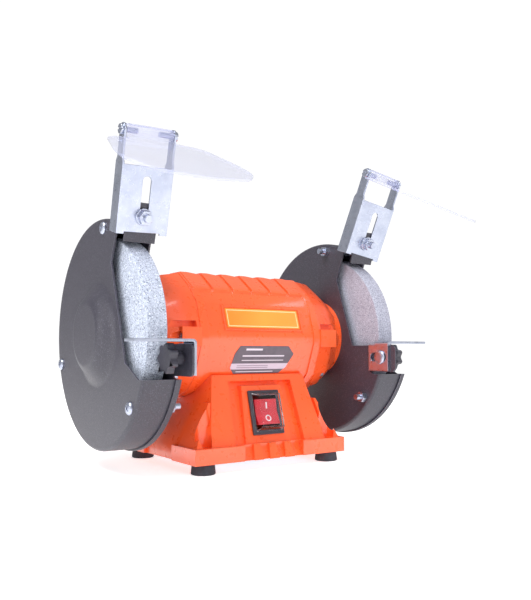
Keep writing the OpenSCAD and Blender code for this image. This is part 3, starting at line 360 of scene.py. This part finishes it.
def blotter_paper():
    """Soft blue-grey paper washer."""
    s = Shader("blotter_paper", srgb(120, 140, 168), 0.9)
    s.set("Base Color", s.ramp(s.noise(500, 4), (0.3, srgb(104, 126, 156)), (0.7, srgb(136, 154, 178))))
    s.bump(s.noise(900, 4), 0.4, 0.0002)
    return s.mat


MATERIALS = {
    "housing_paint": painted_casting(),
    "guard_coat": powder_coat(),
    "zinc": zinc_plate(),
    "steel": turned_steel(),
    "abrasive_coarse": abrasive("grey_abrasive_coarse", 1150,
                                srgb(236, 241, 252), srgb(184, 192, 209), srgb(96, 102, 122)),
    "abrasive_fine": abrasive("grey_abrasive_fine", 1700,
                              srgb(212, 213, 226), srgb(168, 169, 184), srgb(112, 113, 130)),
    "blotter": blotter_paper(),
    "rubber": foot_rubber(),
    "black_plastic": moulded_plastic("black_plastic", srgb(56, 54, 64), 0.42),
    "rocker_red": lamp_red(),
    "clear_cover": clear_plastic("clear_cover", (0.96, 0.95, 0.97, 1.0), 0.03),
    "clear_shield": clear_sheet("clear_shield", srgb(196, 200, 232), 0.34),
    "label_orange": front_film(),
    "label_dark": rating_film(),
    "laminations": laminated("core_laminations", srgb(120, 120, 126)),
    "copper": wound_copper(),
    "capacitor_case": moulded_plastic("capacitor_case", srgb(228, 226, 216), 0.3),
    "cage_brass": laminated("cage_brass", srgb(200, 168, 90)),
}


def dress(piece, slot):
    """Gives a piece its material in place of any that it came with."""
    piece.data.materials.clear()
    piece.data.materials.append(MATERIALS[slot])


for name, node in nodes.items():
    dress(node, slot_of[name])

# ---------------------------------------------------- pieces from CAD solids

# Width of each rounded edge, in millimetres.
EDGE_WIDTH = {
    "motor_housing": 0.9, "left_end_bell": 1.1, "right_end_bell": 1.1, "pedestal": 0.9,
    "left_guard_pan": 0.25, "left_guard_lid": 0.25, "right_guard_pan": 0.25, "right_guard_lid": 0.25,
    "left_tool_rest": 0.3, "right_tool_rest": 0.3, "left_shield_bracket": 0.3, "right_shield_bracket": 0.3,
    "left_rest_knob": 0.6, "right_rest_knob": 0.6, "left_eye_shield": 0.5, "right_eye_shield": 0.5,
    "switch_frame": 0.5, "switch_rocker": 0.7, "switch_cover": 0.7, "cable_gland": 0.4,
    "left_guard_screws": 0.25, "right_guard_screws": 0.25, "left_bracket_bolt": 0.3,
    "right_bracket_bolt": 0.3, "left_shield_screws": 0.25, "right_shield_screws": 0.25,
    "left_rest_bolt": 0.25, "right_rest_bolt": 0.25, "left_spindle_nut": 0.5, "right_spindle_nut": 0.5,
    "base_plate": 0.2, "end_bell_screws": 0.2,
    "foot_front_left": 0.5, "foot_front_right": 0.5, "foot_rear_left": 0.5, "foot_rear_right": 0.5,
}

# A lighter material on the rounded edges, a painted highlight, for slots whose edges catch a thin line of
# light.
EDGE_HIGHLIGHT_PAINT = {"guard_coat": moulded_plastic("graphite_painted_edge_highlight", srgb(128, 125, 140), 0.4)}

JOIN_WITHIN = 0.001 * MM     # corners closer than this are one corner
FLAT_WITHIN = 0.6            # degrees between faces of one flat
SHARP_ROUNDED = 28           # degrees, on pieces whose edges are rounded
SHARP_PLAIN = 30             # degrees, on pieces that keep the CAD mesh
EDGE_SEGMENTS = 2


def clean_copy(name):
    """A copy of a CAD node's mesh with shared corners and no needless edges on its flats."""
    mesh = nodes[name].data.copy()
    if "custom_normal" in mesh.attributes:
        mesh.attributes.remove(mesh.attributes["custom_normal"])
    built = bmesh.new()
    built.from_mesh(mesh)
    bmesh.ops.remove_doubles(built, verts=built.verts, dist=JOIN_WITHIN)
    bmesh.ops.dissolve_limit(built, angle_limit=math.radians(FLAT_WITHIN),
                             verts=built.verts, edges=built.edges)
    bmesh.ops.connect_verts_concave(built, faces=built.faces)
    for face in built.faces:
        face.smooth = True
    for edge in built.edges:
        edge.smooth = True
    built.to_mesh(mesh)
    built.free()
    piece = bpy.data.objects.new(name + "_finish", mesh)
    bpy.context.scene.collection.objects.link(piece)
    return piece


def round_edges(piece, width):
    """Rounds the sharp edges, and keeps the flats between them flat."""
    bevel = piece.modifiers.new("edges", "BEVEL")
    bevel.width = width * MM
    bevel.segments = EDGE_SEGMENTS
    bevel.limit_method = "ANGLE"
    bevel.angle_limit = math.radians(SHARP_ROUNDED)
    bevel.use_clamp_overlap = True
    weigh = piece.modifiers.new("flats", "WEIGHTED_NORMAL")
    weigh.mode = "FACE_AREA"
    weigh.weight = 100
    weigh.keep_sharp = True


def refine(name, width):
    """A finished copy with rounded edges in place of a CAD node."""
    piece = clean_copy(name)
    round_edges(piece, width)
    dress(piece, slot_of[name])
    # The rounded edges take the lighter material: a painted edge highlight.
    if slot_of[name] in EDGE_HIGHLIGHT_PAINT:
        piece.data.materials.append(EDGE_HIGHLIGHT_PAINT[slot_of[name]])
        piece.modifiers["edges"].material = 1
    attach(piece, body_of[name])
    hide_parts(name)


for name, width in EDGE_WIDTH.items():
    refine(name, width)


NEAR_AIM = 0.97      # cosine of the angle within which a flat faces its aim
SAME_FLAT = 0.9999   # cosine of the angle within which faces lie on one flat


def flat_frame(name, aim):
    """Frame on a node's largest flat that faces aim: X runs along +X, and the origin is the flat's middle."""
    flats = [p for p in nodes[name].data.polygons if p.normal.dot(aim) > NEAR_AIM]
    normal = max(flats, key=lambda p: p.area).normal.copy()
    flat = [p for p in flats if p.normal.dot(normal) > SAME_FLAT]
    middle = sum((p.center * p.area for p in flat), Vector()) / sum(p.area for p in flat)
    across = Vector((1, 0, 0))
    turn = Matrix((across, normal.cross(across), normal)).transposed().to_4x4()
    return Matrix.Translation(middle) @ turn


MARK_THICK = 0.15    # mm


def raised_mark(name, outlines, place, stands_on):
    """A raised printed mark made of flat outlines, in millimetres on the plane of place."""
    built = bmesh.new()
    for outline in outlines:
        built.faces.new([built.verts.new((x * MM, y * MM, 0)) for x, y in outline])
    bmesh.ops.remove_doubles(built, verts=built.verts, dist=1e-7)
    raised = bmesh.ops.extrude_face_region(built, geom=built.faces[:])["geom"]
    raised_corners = [v for v in raised if isinstance(v, bmesh.types.BMVert)]
    bmesh.ops.translate(built, vec=(0, 0, MARK_THICK * MM), verts=raised_corners)
    bmesh.ops.transform(built, matrix=place, verts=built.verts)
    bmesh.ops.recalc_face_normals(built, faces=built.faces)
    mesh = bpy.data.meshes.new(name)
    built.to_mesh(mesh)
    built.free()
    piece = bpy.data.objects.new(name, mesh)
    bpy.context.scene.collection.objects.link(piece)
    piece.data.materials.append(mark_white)
    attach(piece, body_of[stands_on])


def ring_outlines(radius, stroke, turns=24):
    """An open circle, as a run of four-sided outlines."""
    angles = [math.tau * i / turns for i in range(turns + 1)]
    corners = [[(r * math.cos(a), r * math.sin(a)) for a in angles] for r in (radius, radius - stroke)]
    outer, inner = corners
    return [(outer[i], outer[i + 1], inner[i + 1], inner[i]) for i in range(turns)]


UPPER_HALF = Vector((0, -0.992, 0.129))
LOWER_HALF = Vector((0, -0.892, 0.451))
BAR_HALF_W, BAR_HALF_L = 0.6, 2.6    # mm
RING_R, RING_STROKE = 2.7, 0.9       # mm

mark_white = moulded_plastic("mark_white", srgb(240, 232, 236), 0.4)
bar_outline = ((-BAR_HALF_W, -BAR_HALF_L), (BAR_HALF_W, -BAR_HALF_L), (BAR_HALF_W, BAR_HALF_L),
               (-BAR_HALF_W, BAR_HALF_L))
raised_mark("rocker_on_mark", [bar_outline], flat_frame("switch_rocker", UPPER_HALF), "switch_rocker")
raised_mark("rocker_off_mark", ring_outlines(RING_R, RING_STROKE),
            flat_frame("switch_rocker", LOWER_HALF), "switch_rocker")

for name, node in nodes.items():
    if name not in EDGE_WIDTH:
        for polygon in node.data.polygons:
            polygon.use_smooth = True
        node.data.set_sharp_from_angle(angle=math.radians(SHARP_PLAIN))

# ------------------------------------------------------------------- studio

FLOOR_R = 12.0       # m
FLOOR_GLOW = 0.64    # the light that the floor gives by itself
ROOM_LIGHT = 0.45    # the room's strength as a light
ROOM_SEEN = 1.05     # the room's strength as seen directly and through clear plastic


def stage_floor():
    """A round pale floor, wide enough to reach the horizon, with a glow that keeps it near white."""
    turns = 64
    mesh = bpy.data.meshes.new("floor")
    angles = [math.tau * i / turns for i in range(turns)]
    mesh.from_pydata([(FLOOR_R * math.cos(a), FLOOR_R * math.sin(a), 0) for a in angles], [], [range(turns)])
    floor = bpy.data.objects.new("floor", mesh)
    bpy.context.scene.collection.objects.link(floor)
    paint = Shader("floor", (0.88, 0.88, 0.885, 1.0), 0.9)
    paint.set("Emission Color", (1.0, 1.0, 1.0, 1.0))
    paint.set("Emission Strength", FLOOR_GLOW)
    floor.data.materials.append(paint.mat)


def softbox(name, at, aim, size, watts):
    """A rectangular area light at one point, turned towards another."""
    data = bpy.data.lights.new(name, "AREA")
    data.shape = "RECTANGLE"
    data.size, data.size_y = size
    data.energy = watts
    lamp = bpy.data.objects.new(name, data)
    bpy.context.scene.collection.objects.link(lamp)
    lamp.location = at
    lamp.rotation_euler = (Vector(aim) - Vector(at)).to_track_quat("-Z", "Y").to_euler()


def light_studio():
    """Softboxes in an even white room, which shows brighter directly and through glass than it lights."""
    centre = (0.0, 0.0, 0.12)
    softbox("top", (-0.75, -0.35, 1.5), centre, (1.2, 0.8), 28)
    softbox("front", (-0.2, -1.6, 0.75), centre, (0.9, 0.6), 7)
    softbox("right", (1.6, -0.7, 0.8), centre, (0.6, 0.9), 5)
    softbox("left", (-1.7, 0.1, 0.5), centre, (0.5, 0.8), 5)
    world = bpy.data.worlds.new("studio")
    world.use_nodes = True
    tree = world.node_tree
    background = tree.nodes["Background"]
    background.inputs["Color"].default_value = (1.0, 1.0, 1.0, 1.0)
    path = tree.nodes.new("ShaderNodeLightPath")
    seen = tree.nodes.new("ShaderNodeMath")
    seen.operation = "MAXIMUM"
    tree.links.new(path.outputs["Is Camera Ray"], seen.inputs[0])
    tree.links.new(path.outputs["Is Transmission Ray"], seen.inputs[1])
    strength = tree.nodes.new("ShaderNodeMapRange")
    tree.links.new(seen.outputs[0], strength.inputs["Value"])
    strength.inputs["To Min"].default_value = ROOM_LIGHT
    strength.inputs["To Max"].default_value = ROOM_SEEN
    tree.links.new(strength.outputs[0], background.inputs["Strength"])
    bpy.context.scene.world = world


stage_floor()
light_studio()
